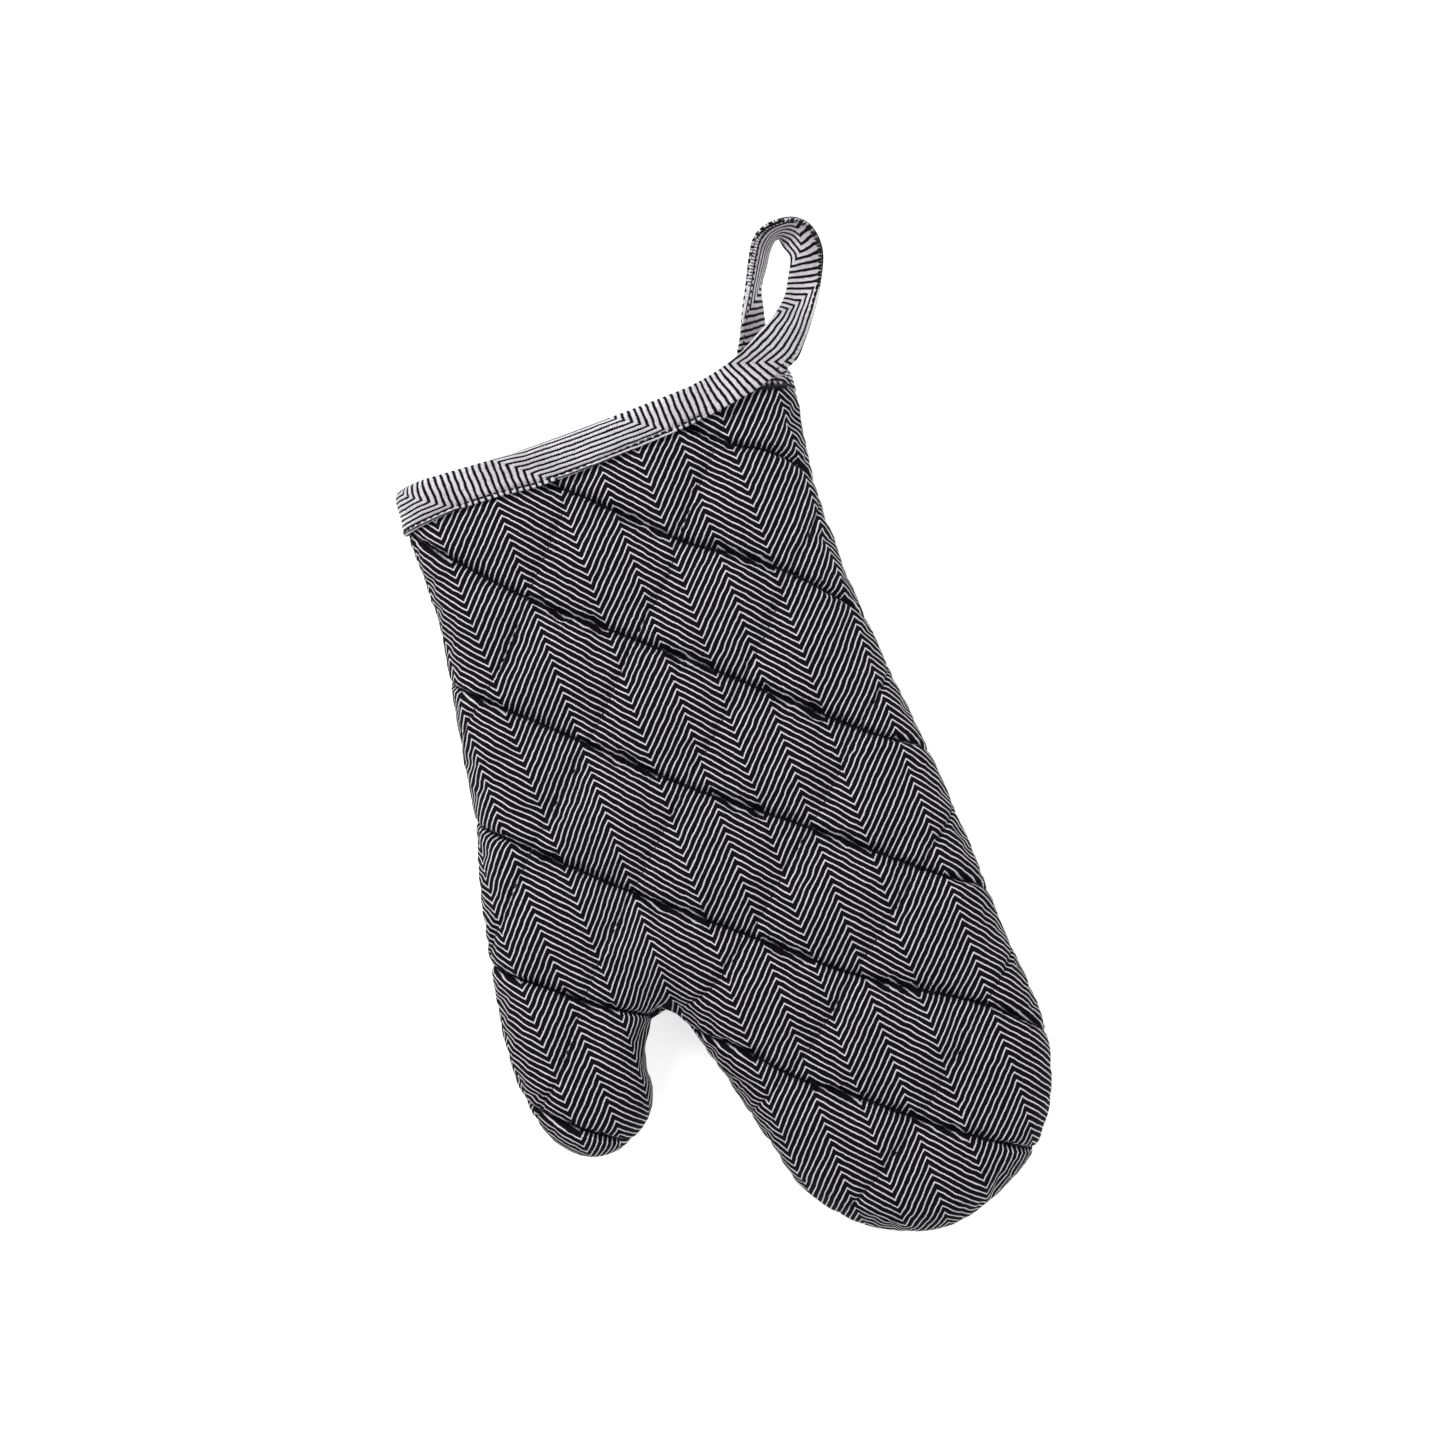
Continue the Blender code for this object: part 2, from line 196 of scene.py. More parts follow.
# Cloth colours: ground, stripe, and the stripe's share of the repeat
MAIN_COLOURS = ((0.0042, 0.0036, 0.0064), (0.93, 0.905, 0.94), 0.222)
TAPE_COLOURS = ((0.69, 0.67, 0.705), (0.004, 0.0034, 0.006), 0.44)

# Studio, in metres. Each light has a place, a width and a power.
CAMERA_LENS = 100.0
CAMERA_HEIGHT = 1.365        # above the side seam
CAMERA_ROLL = 18.9           # degrees
VIEW_CENTRE = (10.8, 15.0)   # the point below the camera, in millimetres
KEY_LIGHT = ((-0.35, 1.0, 1.05), 0.7, 15)
FILL_LIGHT = ((0.9, -0.6, 1.3), 1.2, 5.6)
WORLD_LIGHT = 0.41
FLOOR_GLOW = 0.62
FLOOR_REACH = 6.0

# Cloth simulation
CLOTH_SETTINGS = {
    "quality": 6, "mass": 0.3, "tension_stiffness": 20, "compression_stiffness": 20,
    "shear_stiffness": 7, "bending_stiffness": 0.25, "vertex_group_mass": "held",
    "shrink_min": -0.022, "use_pressure": True,
}
PRESSURE_FRONT, PRESSURE_BACK = 2.0, 1.5
SIM_SCALE = 10.0             # the solver works on a mitt this many times larger
SIM_FRAMES = 24
SIM_CAP = 2.6                # furthest a point may move from the pattern's shape
NET_STEP = 2.3               # spacing of the net
COARSE_STEP = 4.4            # spacing for the wadding and the lining


# ---- curves and distances

def spline(knots, steps):
    """Points along a Catmull-Rom curve through the knots, of any dimension."""
    knots = np.array(knots, float)
    ends = (2 * knots[0] - knots[1], 2 * knots[-1] - knots[-2])
    k = np.vstack([ends[0], knots, ends[1]])
    t = (np.arange(steps) / steps)[None, :, None]
    p0, p1, p2, p3 = (k[i:len(k) - 3 + i][:, None, :] for i in range(4))
    curve = 0.5 * (2 * p1 + (p2 - p0) * t + (2 * p0 - 5 * p1 + 4 * p2 - p3) * t ** 2
                   + (3 * p1 - p0 - 3 * p2 + p3) * t ** 3)
    return np.vstack([curve.reshape(-1, knots.shape[1]), knots[-1:]])


def unit(rows):
    """The rows scaled to length 1."""
    return rows / np.linalg.norm(rows, axis=1)[:, None]


def distances_along(line):
    return np.concatenate([[0], np.cumsum(np.linalg.norm(np.diff(line, axis=0), axis=1))])


def closed(border):
    return np.vstack([border, border[:1]])


def evenly(line, spacing):
    """The line resampled at about this spacing."""
    line = np.array(line, float)
    lengths = distances_along(line)
    count = max(2, int(round(lengths[-1] / spacing)) + 1)
    at = np.linspace(0, lengths[-1], count)
    return np.column_stack([np.interp(at, lengths, column) for column in line.T])


def left_of(line):
    """Unit directions to the left of a line's points."""
    along = unit(np.gradient(line, axis=0))
    return np.column_stack([-along[:, 1], along[:, 0]])


def nearest_on(line, points):
    """For each point: the nearest place on the line, its segment and its share of it."""
    start, step = line[:-1], np.diff(line, axis=0)
    size = (step ** 2).sum(1)
    best = []
    for block in np.array_split(points, max(1, len(points) // 2000)):
        share = np.clip((((block[:, None] - start) * step).sum(2)) / size, 0, 1)
        place = start + share[..., None] * step
        gap = ((block[:, None] - place) ** 2).sum(2)
        pick = gap.argmin(1)
        row = np.arange(len(block))
        best.append(np.column_stack([place[row, pick], pick, share[row, pick]]))
    best = np.vstack(best)
    return best[:, :2], best[:, 2].astype(int), best[:, 3]


def distance_to(line, points):
    return np.linalg.norm(points - nearest_on(np.array(line, float), points)[0], axis=1)


def smooth(value):
    value = np.clip(value, 0, 1)
    return value * value * (3 - 2 * value)


def ripple(points, size, seed):
    """Smooth values from -1 to 1 over the plane, from a few seeded waves."""
    rng = np.random.default_rng(seed)
    total = np.zeros(len(points))
    for _ in range(7):
        heading, phase = rng.uniform(0, 2 * math.pi, 2)
        wave = rng.uniform(0.7, 1.6) * 2 * math.pi / size
        total += np.sin(points @ (wave * np.array([math.cos(heading), math.sin(heading)]))
                        + phase)
    return total / 4


EDGE = evenly(spline(OUTLINE, 12), 1.0)
EDGE_IN = left_of(EDGE)


def extended(line, reach=14.0):
    """The line with both ends carried straight on."""
    line = [np.array(point, float) for point in line]
    first, last = line[0] - line[1], line[-1] - line[-2]
    return np.array([line[0] + first / np.linalg.norm(first) * reach, *line,
                     line[-1] + last / np.linalg.norm(last) * reach])


def quilting(front):
    """(line, depth) of every quilting line of a face."""
    lines = []
    for number, line in enumerate(LONG_LINES):
        both_ends = extended(line)
        if number == 5:
            both_ends = both_ends[:-1]           # the thumb's line stops at the crotch
        lines.append((evenly(spline(both_ends, 8), 1.0), TIGHT if front else SHALLOW + 0.4))
    for number, line in enumerate(CROSS_LINES):
        both_ends = extended(line)
        if number == 3:
            both_ends = both_ends[:-1]
        lines.append((evenly(spline(both_ends, 8), 1.0), SHALLOW if front else TIGHT - 0.3))
    return lines


# ---- the flat pattern

def pattern_border(spacing):
    """The pattern's closed border, in order."""
    border = EDGE - EDGE_IN * PATTERN_EDGE
    border = border[border[:, 1] < CUFF_Y - 0.4]
    left, right = border[0], border[-1]
    border = np.vstack([[left[0], CUFF_Y], border, [right[0], CUFF_Y]])
    return evenly(closed(border), spacing)[:-1]


def inside(points, border):
    """Which points lie inside a closed border."""
    x, y = points[:, :1], points[:, 1:]
    x1, y1 = border.T
    x2, y2 = np.roll(border, -1, axis=0).T
    crosses = ((y1 > y) != (y2 > y)) & (x < (x2 - x1) * (y - y1) / (y2 - y1 + 1e-12) + x1)
    return crosses.sum(1) % 2 == 1


def pattern_net(spacing, lines):
    """A triangle net over the pattern: points and triangles."""
    border = pattern_border(spacing)
    span = np.arange(-115, 100, spacing)
    rows = np.arange(-185, 130, spacing * 0.866)
    grid = np.array([(x + (k % 2) * spacing / 2, y) for k, y in enumerate(rows) for x in span])
    loop = closed(border)
    cut = evenly(THUMB_CUT, spacing * 0.8)
    cut = cut[inside(cut, border) & (distance_to(loop, cut) > 0.6)]
    grid = grid[inside(grid, border)]
    grid = grid[(distance_to(loop, grid) > spacing * 0.55) & (distance_to(cut, grid) > spacing * 0.5)]
    extra = []
    for line, _ in lines:
        grid = grid[distance_to(line, grid) > 2.2]
    for line, _ in lines:
        side = left_of(line)
        for offset, step in ((0.0, 1.3), (0.75, 1.5), (-0.75, 1.5), (1.6, 1.8), (-1.6, 1.8)):
            row = evenly(line + side * offset, step)
            row = row[inside(row, border)]
            if not len(row):
                continue
            near = distance_to(loop, row) > 0.7
            near &= distance_to(cut, row) > (0.5 if offset == 0 else 0.6)
            if offset:
                for other, _ in lines:
                    near &= distance_to(other, row) > abs(offset) * 0.8
            extra.append(row[near])
    points = np.vstack([border, cut, grid, *extra])
    count, cuts = len(border), len(cut)
    edges = [(i, (i + 1) % count) for i in range(count)]
    edges += [(count + i, count + i + 1) for i in range(cuts - 1)]
    # the cut's two ends join the nearest border points
    for end in (count, count + cuts - 1):
        gap = np.linalg.norm(border - points[end], axis=1)
        edges.append((int(gap.argmin()), end))
    result = geometry.delaunay_2d_cdt([Vector(p) for p in points], edges, [], 1, 1e-4)
    verts = np.array([tuple(v) for v in result[0]])
    tris = np.array([f for f in result[2] if len(f) == 3])
    a, b, c = (verts[tris[:, k]] for k in range(3))
    turn = (b - a)[:, 0] * (c - a)[:, 1] - (b - a)[:, 1] * (c - a)[:, 0]
    tris[turn < 0] = tris[turn < 0][:, ::-1]
    return verts, tris[np.abs(turn) > 1e-4]


def wrap(pattern, depth, front):
    """The pattern wrapped round the mitt at a depth under its face: places, normals, cloth."""
    place, segment, share = nearest_on(EDGE, pattern)
    share = share[:, None]
    after = np.minimum(segment + 1, len(EDGE) - 1)
    inward = unit(EDGE_IN[segment] * (1 - share) + EDGE_IN[after] * share)
    away = pattern - place
    inset = np.sign((away * inward).sum(1)) * np.linalg.norm(away, axis=1)
    far = np.abs(inset) > 0.6
    inward[far] = away[far] / inset[far][:, None]
    turn = np.clip((inset + PATTERN_EDGE) / (RIM_WIDTH + PATTERN_EDGE), 0, 1)
    angle = turn * math.pi / 2
    core = np.where((turn < 1)[:, None], place + inward * RIM_WIDTH, pattern)
    outward = -inward * np.cos(angle)[:, None]
    nip = SEAM_NIP * np.exp(-np.degrees(angle) / 7)
    squeeze = CUFF_NIP * smooth((pattern[:, 1] - 101) / 9)
    deep = depth + nip
    up = 1.0 if front else -1.0
    flat = core + outward * (RIM_WIDTH - deep - 0.3 * squeeze)[:, None]
    high = MIDDLE + up * (HALF_HEIGHT - deep - squeeze) * np.sin(angle)
    normals = np.column_stack([outward, up * np.sin(angle)])
    cloth = core - inward * (RIM_ARC * (1 - turn))[:, None]
    cloth = np.where((turn < 1)[:, None], cloth, pattern)
    drift = np.clip((105 - pattern[:, 1]) / 205, 0, 1) ** 1.3
    cloth[:, 0] -= THUMB_DRIFT * smooth((-26 - pattern[:, 0]) / 34) * drift
    return np.column_stack([flat, high]), normals, cloth


def groove(pattern, lines, front):
    """For each point of the pattern: the quilting's depth, and how far a line and the hem are."""
    deep = np.zeros(len(pattern))
    near = np.full(len(pattern), 99.0)
    rim = distance_to(EDGE, pattern)
    ease = 0.35 + 0.65 * smooth((rim - 1) / 11) * inside(pattern, EDGE)
    for number, (line, depth) in enumerate(lines):
        place, segment, _ = nearest_on(line, pattern)
        gap = np.linalg.norm(pattern - place, axis=1)
        along = depth * (1 + 0.15 * np.sin(segment / 2.6 + number) * np.sin(segment / 4.1))
        along *= ease
        deep = np.maximum(deep, along * np.exp(-(gap / 1.2) ** 2))
        near = np.minimum(near, gap)
    low = FRONT_LOW if front else BACK_LOW
    return deep, near, np.abs(pattern[:, 1] - np.interp(pattern[:, 0], *zip(*low)))


# ---- settling the cloth

def put(name, data):
    """A new object in the scene."""
    obj = bpy.data.objects.new(name, data)
    bpy.context.scene.collection.objects.link(obj)
    return obj


def settle(points, tris, held, pressure):
    """The fabric after it has swelled between the lines that hold it."""
    mesh = bpy.data.meshes.new("settling")
    mesh.from_pydata((points * MM * SIM_SCALE).tolist(), [], tris.tolist())
    piece = put("settling", mesh)
    scene = bpy.context.scene
    piece.vertex_groups.new(name="held").add(np.flatnonzero(held).tolist(), 1.0, "REPLACE")
    cloth = piece.modifiers.new("cloth", "CLOTH")
    for name, value in CLOTH_SETTINGS.items():
        setattr(cloth.settings, name, value)
    cloth.settings.uniform_pressure_force = pressure
    cloth.settings.effector_weights.gravity = 0
    cloth.collision_settings.use_collision = False
    cloth.point_cache.frame_start, cloth.point_cache.frame_end = 1, SIM_FRAMES
    for number in range(1, SIM_FRAMES + 1):
        scene.frame_set(number)
    settled = piece.evaluated_get(bpy.context.evaluated_depsgraph_get()).data
    out = np.zeros(len(points) * 3, np.float32)
    settled.vertices.foreach_get("co", out)
    out = out.reshape(-1, 3).astype(float) / (MM * SIM_SCALE)
    bpy.data.objects.remove(piece)
    scene.frame_set(1)
    move = out - points
    size = np.linalg.norm(move, axis=1)[:, None]
    return points + move * np.minimum(1, SIM_CAP / np.maximum(size, 1e-9))


def vertex_normals(points, tris):
    a, b, c = (points[tris[:, k]] for k in range(3))
    face = np.cross(b - a, c - a)
    normals = np.zeros_like(points)
    for k in range(3):
        np.add.at(normals, tris[:, k], face)
    return normals / np.maximum(np.linalg.norm(normals, axis=1)[:, None], 1e-12)


class Face:
    """One face of the mitt: its pattern and its settled outer surface."""

    def __init__(self, front):
        self.front = front
        self.lines = quilting(front)
        self.pattern, tris = pattern_net(NET_STEP, self.lines)
        self.tris = tris if front else tris[:, ::-1]
        deep, near, hem = groove(self.pattern, self.lines, front)
        sewn = (near < 0.3) | (hem < 1.0) | (self.pattern[:, 1] > CUFF_Y - 1.5)
        rim = distance_to(closed(pattern_border(NET_STEP)), self.pattern) < 0.3
        crease = np.zeros(len(self.pattern))
        if front:
            for line, depth in CREASES:
                gap = distance_to(evenly(spline(line, 6), 1.0), self.pattern)
                crease = np.maximum(crease, depth * np.exp(-(gap / 1.7) ** 2))
        swell = 0.9 * (1 - np.exp(-near / 5)) + 0.35 * ripple(self.pattern, 34, 3 + front)
        fine = 0.12 * ripple(self.pattern, 9, 11 + front)
        free = smooth(near / 3) * smooth((CUFF_Y - 8 - self.pattern[:, 1]) / 6)
        shape = deep - fine * free
        nominal, normals, self.cloth = wrap(self.pattern, shape, front)
        points = settle(nominal, self.tris, sewn | rim,
                        PRESSURE_FRONT if front else PRESSURE_BACK)
        points = points - normals * (crease * free)[:, None]
        if not front:                            # it rests on its back
            points[:, 2] = np.maximum(points[:, 2], 0.05)
        # painted shade: how much the cloth is darkened along each quilting line, by the line's depth
        self.shade = np.zeros(len(points))
        for line, depth in self.lines:
            gap = distance_to(line, self.pattern)
            groove_shade_share = min(1.0, depth / 3.2) * np.exp(-(gap / 0.85) ** 2)
            self.shade = np.maximum(self.shade, groove_shade_share)
        self.points = points
        self.normals = vertex_normals(points, self.tris)
        base, _, _ = wrap(self.pattern, np.zeros(len(shape)), front)
        self.depth = ((base - points) * normals).sum(1)
        self.tree = kdtree.KDTree(len(self.pattern))
        for number, point in enumerate(self.pattern):
            self.tree.insert((*point, 0), number)
        self.tree.balance()
        self.flat = BVHTree.FromPolygons([(*p, 0.0) for p in self.pattern], self.tris.tolist())

    def deepest(self, points):
        """How far the fabric lies under the plain wall, near each of these pattern points."""
        near = ([n for _, n, _ in self.tree.find_range((*p, 0), COARSE_STEP)] for p in points)
        return np.array([max((self.depth[n] for n in found), default=0.0) for found in near])

    def at(self, point):
        """(place, normal) on the fabric at a point of the pattern, or None off it."""
        hit = self.flat.ray_cast((point[0], point[1], 1.0), (0, 0, -1))
        if hit[2] is None:
            return None
        corners = self.tris[hit[2]]
        a, b, c = (self.pattern[i] for i in corners)
        u = np.linalg.solve(np.column_stack([b - a, c - a]), np.array(point) - a)
        weights = np.array([1 - u.sum(), *u])
        normal = weights @ self.normals[corners]
        return weights @ self.points[corners], normal / np.linalg.norm(normal)


# ---- meshes

def new_object(name, points, faces, uvs, material, sharp=()):
    """A smooth-shaded mesh from points in millimetres. uvs has one pair per face corner."""
    mesh = bpy.data.meshes.new(name)
    mesh.from_pydata((np.asarray(points) * MM).tolist(), [], [tuple(map(int, f)) for f in faces])
    layer = mesh.uv_layers.new(name="cloth")
    layer.data.foreach_set("uv", np.asarray(uvs, np.float32).ravel())
    mesh.polygons.foreach_set("use_smooth", [True] * len(mesh.polygons))
    if len(sharp):
        wanted = set(map(tuple, np.sort(np.asarray(sharp), axis=1).tolist()))
        for edge in mesh.edges:
            if tuple(sorted(edge.vertices)) in wanted:
                edge.use_edge_sharp = True
    mesh.materials.append(material)
    mesh.validate()
    return put(name, mesh)


def in_thumb(pattern, tris):
    """Which triangles lie on the thumb's side of the cut."""
    centre = pattern[tris].mean(1)
    xs, ys = zip(*THUMB_CUT[:-1])
    return (centre[:, 0] < CROTCH_X) & (centre[:, 1] < np.interp(centre[:, 0], xs, ys)) | (
        (centre[:, 0] < CROTCH_X) & (centre[:, 0] > THUMB_CUT[-2][0])
        & (centre[:, 1] < THUMB_CUT[-2][1]))


def slab(name, tris, top, bottom, cloth, material, shade=None):
    """A closed piece of cloth between two surfaces that share a net."""
    used, flat = np.unique(tris, return_inverse=True)
    tris = flat.reshape(-1, 3)
    n = len(used)
    sides = np.vstack([tris[:, [0, 1]], tris[:, [1, 2]], tris[:, [2, 0]]])
    _, first, count = np.unique(np.sort(sides, axis=1), axis=0, return_index=True,
                                return_counts=True)
    rim = sides[first[count == 1]]
    quads = np.column_stack([rim[:, 0], rim[:, 0] + n, rim[:, 1] + n, rim[:, 1]])
    faces = [*tris, *(tris[:, ::-1] + n), *quads]
    uv = np.vstack([cloth[used], cloth[used]])
    corners = np.concatenate([np.ravel(face) for face in faces])
    obj = new_object(name, np.vstack([top[used], bottom[used]]), faces, uv[corners], material,
                     sharp=np.vstack([rim, rim + n]))
    # the painted groove shade is stored on the points for the cloth material
    if shade is not None:
        layer = obj.data.attributes.new("seam", "FLOAT", "POINT")
        layer.data.foreach_set("value", np.tile(shade[used], 2).astype(np.float32))
    return obj


def add_walls(face, materials):
    """The outer fabric, wadding and lining of one face, each in a hand and a thumb part."""
    side = "front" if face.front else "back"
    made = []
    thumb = in_thumb(face.pattern, face.tris)
    inner = face.points - face.normals * CLOTH
    coarse, tris = pattern_net(COARSE_STEP, [])
    if not face.front:
        tris = tris[:, ::-1]
    coarse_thumb = in_thumb(coarse, tris)
    top = np.maximum(face.deepest(coarse), 0.0) + CLOTH + WADDING_TOP
    _, near, _ = groove(coarse, face.lines, face.front)
    dimple = 0.5 * np.exp(-near / 3)
    top = np.minimum(top, LINING_DEPTH - 0.6 - dimple)
    wadding_top, _, cloth = wrap(coarse, top, face.front)
    wadding_low, _, _ = wrap(coarse, LINING_DEPTH - 0.25 - dimple, face.front)
    lining_top, _, _ = wrap(coarse, LINING_DEPTH - dimple, face.front)
    lining_low, _, _ = wrap(coarse, LINING_DEPTH + LINING - dimple, face.front)
    for surface in (wadding_low, lining_top, lining_low):    # they end lower, inside the tape
        surface[:, 1] = np.minimum(surface[:, 1], CUFF_Y - LINING_SHORT)
    for part, mask, coarse_mask in (("hand", ~thumb, ~coarse_thumb), ("thumb", thumb, coarse_thumb)):
        made.append(("outer", side, part, slab(
            f"cover_{side}_{part}", face.tris[mask], face.points, inner, face.cloth,
            materials["outer_fabric"], face.shade)))
        made.append(("wadding", side, part, slab(
            f"pad_{side}_{part}", tris[coarse_mask], wadding_top, wadding_low, cloth,
            materials["wadding_fill"])))
        made.append(("lining", side, part, slab(
            f"inner_cloth_{side}_{part}", tris[coarse_mask], lining_low, lining_top, cloth,
            materials["lining_fabric"])))
    return made


def add_stitches(name, stitches, radius, material, lift=0.12):
    """Raised stitches. Each is (start, end, normal) and dips into the cloth at its ends."""
    rings, sides = 5, 6
    start, end, normal = (np.array([s[k] for s in stitches], float) for k in range(3))
    along = end - start
    length = np.linalg.norm(along, axis=1)[:, None]
    along = along / length
    across = unit(np.cross(along, normal))
    normal = np.cross(across, along)
    points, uvs = [], []
    for ring in range(rings):
        t = ring / (rings - 1)
        arch = math.sin(math.pi * t)
        centre = start + along * (length * t) + normal * (lift * arch - radius * 0.9 * (1 - arch))
        size = radius * (0.6 + 0.4 * arch)
        for side in range(sides):
            angle = 2 * math.pi * side / sides
            points.append(centre + (across * math.cos(angle) + normal * math.sin(angle)) * size)
            uvs.append(np.column_stack([np.full(len(start), side / sides), t * length[:, 0]]))
    points = np.stack(points, 1)
    uvs = np.stack(uvs, 1)
    each = rings * sides
    quads = []
    for ring in range(rings - 1):
        for side in range(sides):
            a, b = ring * sides + side, ring * sides + (side + 1) % sides
            quads.append((a, b, b + sides, a + sides))
    caps = [tuple(reversed(range(sides))), tuple(range(each - sides, each))]
    faces = []
    for number in range(len(start)):
        offset = number * each
        faces += [tuple(i + offset for i in f) for f in quads + caps]
    corner = np.concatenate([np.array(f) for f in faces])
    return new_object(name, points.reshape(-1, 3), faces, uvs.reshape(-1, 2)[corner], material)


def row_of_stitches(line, surface, stitch, gap, skip=lambda p: False):
    """Stitches along a line of the pattern, laid on the fabric."""
    points = evenly(line, (stitch + gap) / 2)
    found = []
    for number in range(0, len(points) - 1, 2):
        start = points[number]
        end = start + (points[number + 1] - start) * (2 * stitch / (stitch + gap))
        if skip(start) or skip(end):
            continue
        first, last = surface(start), surface(end)
        if first and last:
            found.append((first[0], last[0], first[1] + last[1]))
    return found


def add_quilting(face, material):
    """The quilting thread of one face, in a hand and a thumb part."""
    side = "front" if face.front else "back"
    xs, ys = zip(*THUMB_CUT[:-1])
    hem_x, hem_y = zip(*(FRONT_LOW if face.front else BACK_LOW))
    runs = {"hand": [], "thumb": []}
    for line, _ in face.lines:
        for stitch in row_of_stitches(line, face.at, QUILT_STITCH, QUILT_GAP,
                                      lambda p: p[1] > np.interp(p[0], hem_x, hem_y) - 0.8):
            middle = (stitch[0] + stitch[1]) / 2
            # the stitches of the cut's own line stay with the hand
            below = middle[0] < CROTCH_X and middle[1] < np.interp(middle[0], xs, ys) - 0.6
            runs["thumb" if below else "hand"].append(stitch)
    return [(part, add_stitches(f"quilting_thread_{side}_{part}", found, THREAD, material))
            for part, found in runs.items()]


def tape_cloth(along, across):
    """Where a point of the tape lies on the cloth the tape was cut from, on the bias."""
    s, w = np.asarray(along) * TAPE_STRETCH[0], np.asarray(across) * TAPE_STRETCH[1]
    return np.stack(np.broadcast_arrays((s + w) * math.sqrt(0.5), (s - w) * math.sqrt(0.5)), -1)


def tape_column(along):
    return float(tape_cloth(along, TAPE_WIDTH / 2)[0])


def grid_object(name, points, cloth, material, wrap_rows, caps=False):
    """A tube of rings. points is rows x ring. cloth has one more column, and one more row
    if it wraps."""
    rows, ring = points.shape[:2]
    faces, uvs = [], []
    for i in range(rows if wrap_rows else rows - 1):
        j = (i + 1) % rows
        for k in range(ring):
            m = (k + 1) % ring
            faces.append((i * ring + k, j * ring + k, j * ring + m, i * ring + m))
            uvs += [cloth[i, k], cloth[i + 1, k], cloth[i + 1, k + 1], cloth[i, k + 1]]
    if caps:
        for row, order in ((0, range(ring)), (rows - 1, reversed(range(ring)))):
            order = list(order)
            faces.append([row * ring + k for k in order])
            uvs += [cloth[row, k] for k in order]
    return new_object(name, points.reshape(-1, 3), faces, uvs, material)


def cuff_stations(spacing):
    """Round the cuff from the back's right end: distance along, centre and direction."""
    run = CORE_RIGHT - CORE_LEFT
    turn = math.pi * TAPE_RADIUS
    total = 2 * run + 2 * turn
    stations = []
    count = int(total / spacing)
    for number in range(count + 1):
        s = CORE_RIGHT + turn / 2 - total * number / count      # front middle is s = x
        if s >= CORE_RIGHT:
            angle = math.pi / 2 - (s - CORE_RIGHT) / TAPE_RADIUS
            centre = CORE_RIGHT
        elif s >= CORE_LEFT:
            angle, centre = math.pi / 2, s
        elif s >= CORE_LEFT - turn:
            angle = math.pi / 2 + (CORE_LEFT - s) / TAPE_RADIUS
            centre = CORE_LEFT
        elif s >= CORE_LEFT - turn - run:
            angle, centre = 3 * math.pi / 2, CORE_LEFT + (CORE_LEFT - turn - s)
        else:
            angle = 3 * math.pi / 2 + (CORE_LEFT - turn - run - s) / TAPE_RADIUS
            centre = CORE_RIGHT
        stations.append((s, centre, angle))
    return stations


def tape_section(low, top):
    """The tape's closed section as (inset, height, distance across) at one station."""
    outside = ([(inset, low + y) for inset, y in LEG_OUT] + [(inset, top + y) for inset, y in ROLL]
               + [(inset, low + y) for inset, y in LEG_IN])
    outside = evenly(spline(outside, 5), 0.5)
    inward = -left_of(outside)
    return outside, outside + inward * TAPE, distances_along(outside)


def edge_height(front_knots, back_knots, x, angle):
    """Height of the tape's edge, eased from the back's to the front's."""
    share = smooth(math.sin(angle) + 0.5)
    front = np.interp(x, *zip(*front_knots))
    back = np.interp(x, *zip(*back_knots))
    return front * share + back * (1 - share)


def flare(x, height):
    """How far the tape stands out at this height over its lower edge."""
    return FLARE * float(smooth((-60.0 - x) / 8)) * math.exp(-((height - 1.0) / 3.2) ** 2)


def binding_place(centre, angle, inset, y):
    """A point of the cuff's rounded section."""
    radius = TAPE_RADIUS - inset
    return (centre + radius * math.cos(angle), y, MIDDLE + radius * math.sin(angle))


def add_binding(material):
    """The bias tape folded over the cuff's edge, and its flat size in metres."""
    stations = cuff_stations(2.0)
    rows, cloth, count, width = [], [], None, 0.0
    for s, centre, angle in stations:
        x = centre + TAPE_RADIUS * math.cos(angle)
        low = edge_height(FRONT_LOW, BACK_LOW, x, angle)
        top = edge_height(FRONT_TOP, BACK_TOP, x, angle)
        outside, inner, lengths = tape_section(low, top)
        if count is None:
            count = len(outside)
        if len(outside) != count:
            grid = np.linspace(0, 1, len(outside)), np.linspace(0, 1, count)
            outside, inner = (np.column_stack([np.interp(grid[1], grid[0], c) for c in p.T])
                              for p in (outside, inner))
            lengths = np.interp(grid[1], grid[0], lengths)
        puff = 0.25 * math.sin(s / 6.3) * math.sin(s / 17.0)
        ring = []
        for inset, y in [*outside, *inner[::-1]]:
            out = flare(x, y - low) if inset < 4 else 0.0
            ring.append(binding_place(centre, angle, inset - out + puff * (y > low + 2.5), y))
        rows.append(ring)
        width = max(width, lengths[-1])
        across = np.concatenate([lengths, lengths[::-1], lengths[:1]])
        cloth.append(tape_cloth(s, across))
    obj = grid_object("binding_tape", np.array(rows[:-1]), np.array(cloth), material, True)
    length = stations[0][0] - stations[-1][0]
    return obj, (width * TAPE_STRETCH[1] * MM, length * TAPE_STRETCH[0] * MM)


def add_topstitch(material):
    """Thread through the binding near its lower edge, all the way round."""
    found = []
    stations = cuff_stations(1.3)
    for pair in zip(stations[::2], stations[1::2]):
        ends = []
        for _, centre, angle in pair:
            x = centre + TAPE_RADIUS * math.cos(angle)
            low = edge_height(FRONT_LOW, BACK_LOW, x, angle)
            ends.append(np.array(binding_place(centre, angle, 0.35 - flare(x, 1.5), low + 1.5)))
            normal = np.array([math.cos(angle), 0.0, math.sin(angle)])
        end = ends[0] + (ends[1] - ends[0]) * 1.65
        found.append((ends[0], end, normal))
    return add_stitches("binding_stitches", found, THREAD * 1.35, material, lift=0.34)


